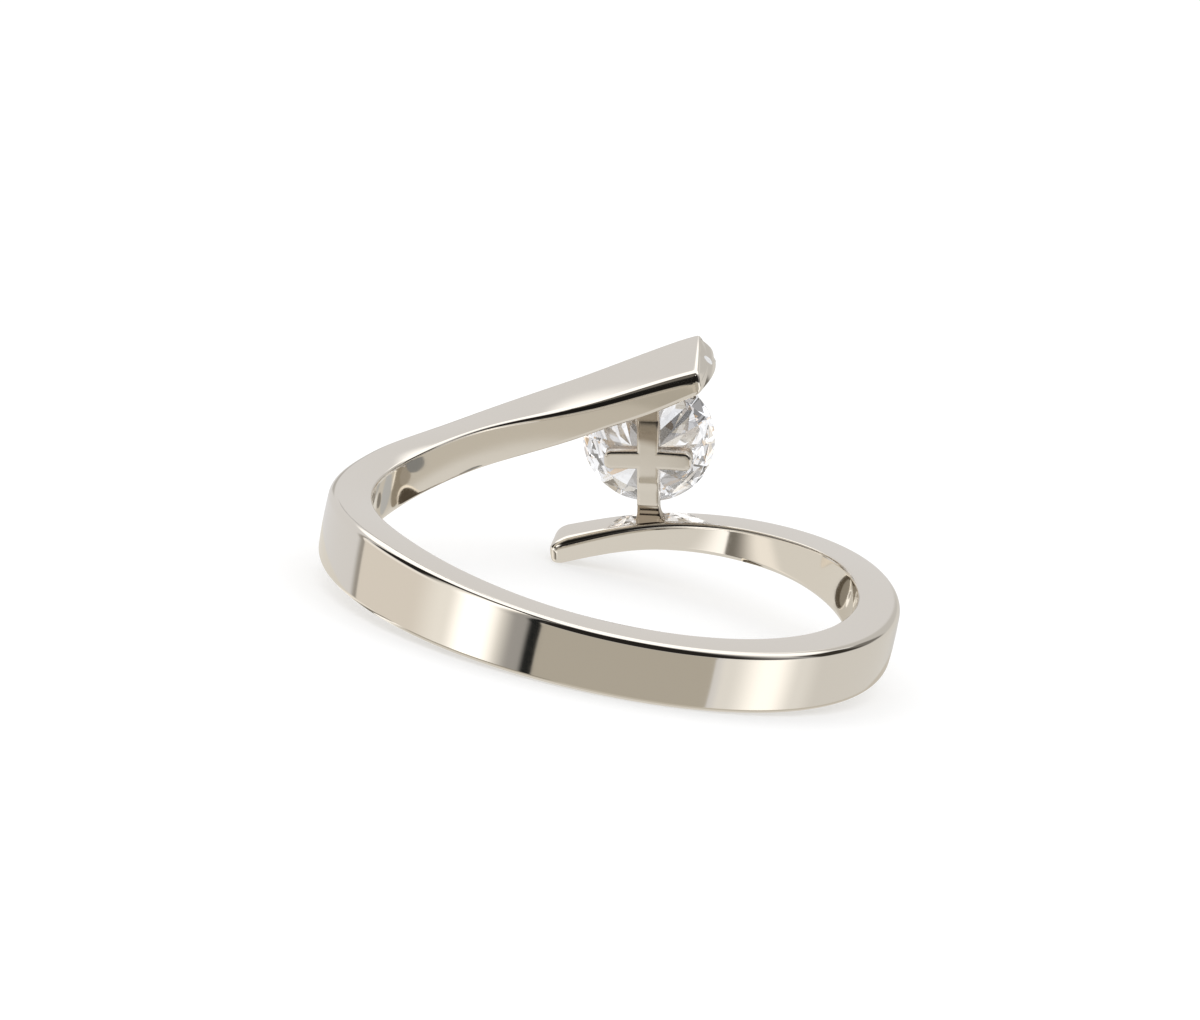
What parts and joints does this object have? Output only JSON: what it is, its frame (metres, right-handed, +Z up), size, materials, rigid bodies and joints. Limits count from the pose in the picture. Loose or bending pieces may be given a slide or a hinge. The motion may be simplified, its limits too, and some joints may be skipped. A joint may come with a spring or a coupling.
{
  "type": "diamond ring",
  "caption": "Bypass finger ring in polished white gold whose two overlapping arms hold a round brilliant diamond, with an open cross cradle under the stone.",
  "frame": {"origin": "middle of the bounding box at the surface that the ring lies on", "axes": "+Z up from the surface the ring lies on; +Y from the middle of the shank towards the diamond; +X to the right, towards the upper arm's tip; the finger axis leans 6.6 degrees from +Z, because the ring lies on its lower arm's tip and on the shank"},
  "size_m": [0.0198, 0.022, 0.0086],
  "materials": {
    "white_gold": "polished white gold",
    "diamond": "cut and polished diamond"
  },
  "bodies": {
    "root": {"band": "white_gold", "diamond": "diamond"}
  },
  "joints": []
}
